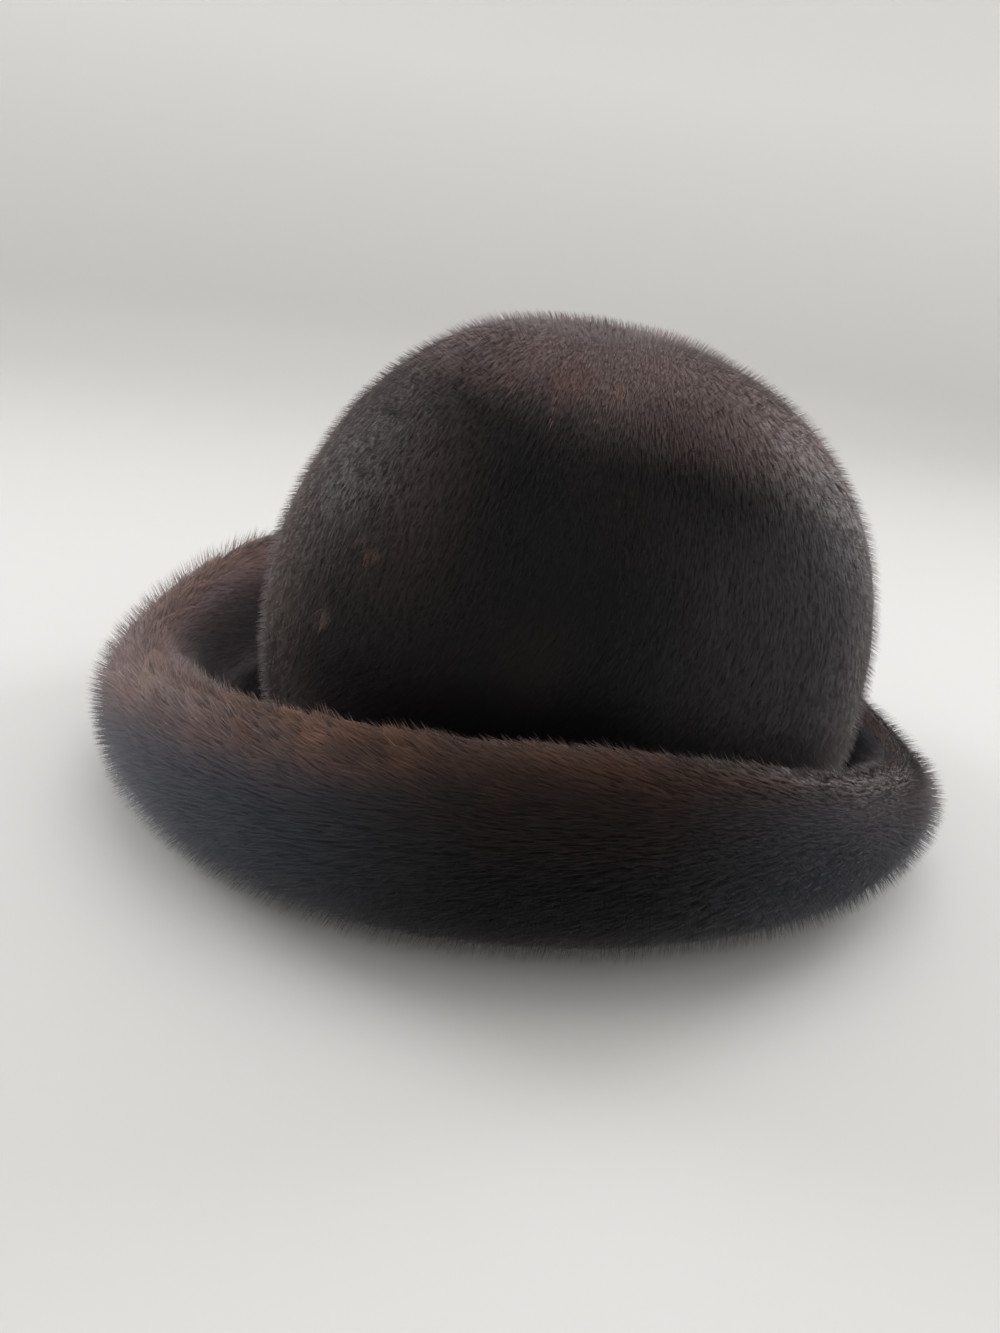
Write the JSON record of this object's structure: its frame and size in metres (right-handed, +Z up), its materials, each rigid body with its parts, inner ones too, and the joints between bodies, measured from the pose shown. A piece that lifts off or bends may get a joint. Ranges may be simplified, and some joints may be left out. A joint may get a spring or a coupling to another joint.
{
  "type": "rolled-brim fur hat",
  "caption": "Fur hat with a plain round crown and a thick soft brim rolled up all round, open below for the head.",
  "frame": {"origin": "on the surface that the hat stands on, under the middle of its box", "axes": "+Z up, -Y towards the front of the hat, +X towards the wearer's left"},
  "size_m": [0.272, 0.3184, 0.1735],
  "materials": {
    "crown_fur": "deep pile fur, near black with a brown sheen",
    "brim_fur": "deep pile fur, dark brown with chestnut tips along the crest"
  },
  "bodies": {
    "root": {"crown": "crown_fur", "brim": "brim_fur"}
  },
  "joints": []
}
